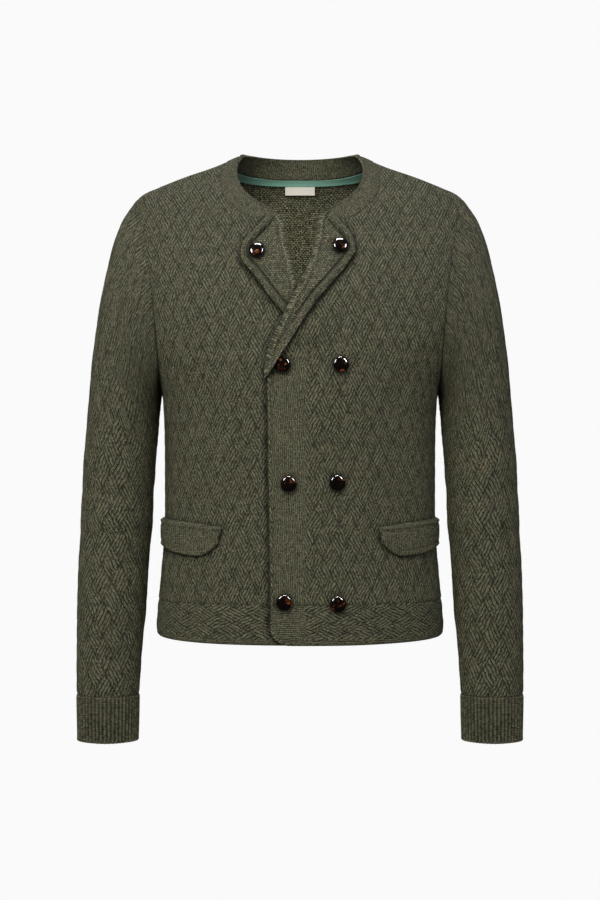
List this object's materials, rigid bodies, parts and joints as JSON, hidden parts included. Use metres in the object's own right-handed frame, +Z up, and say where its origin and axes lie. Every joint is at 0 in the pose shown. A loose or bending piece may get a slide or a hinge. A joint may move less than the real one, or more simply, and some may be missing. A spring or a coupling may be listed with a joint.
{
  "type": "knit cardigan",
  "caption": "Double-breasted cable-knit cardigan in its worn, hollow form, with turned-back lapels, domed buttons, slanted pocket flaps, ribbed cuffs and a hem band",
  "frame": {"origin": "midway between the high points of the two shoulders, level with the neck edge there, where the wearer's shoulders carry the garment", "axes": "+Z up towards the neck, -Y towards the front with the buttons, +X towards the wearer's left"},
  "size_m": [0.5704, 0.2648, 0.7529],
  "materials": {
    "cable_knit": "dark olive melange wool, diagonal cable knit, matt with a soft nap",
    "plain_knit": "dark olive melange wool, plain and ribbed knit, matt",
    "neck_tape": "teal woven tape with a fine twill, slight sheen",
    "neck_label": "blank cream woven label, satin",
    "buttons": "polished dark brown horn-like resin with amber streaks, very glossy"
  },
  "bodies": {
    "root": {"back": "cable_knit", "front_left": "cable_knit", "front_right": "cable_knit", "hem_band_back": "cable_knit", "hem_band_left": "cable_knit", "hem_band_right": "cable_knit", "lapel_left": "cable_knit", "lapel_right": "cable_knit", "neckband": "plain_knit", "sleeve_left": "cable_knit", "sleeve_right": "cable_knit", "cuff_left": "plain_knit", "cuff_right": "plain_knit", "pocket_flap_left": "plain_knit", "pocket_flap_right": "plain_knit", "neck_tape": "neck_tape", "neck_label": "neck_label", "button_1": "buttons", "button_2": "buttons", "button_3": "buttons", "button_4": "buttons", "button_5": "buttons", "button_6": "buttons", "button_7": "buttons", "button_8": "buttons"}
  },
  "joints": []
}
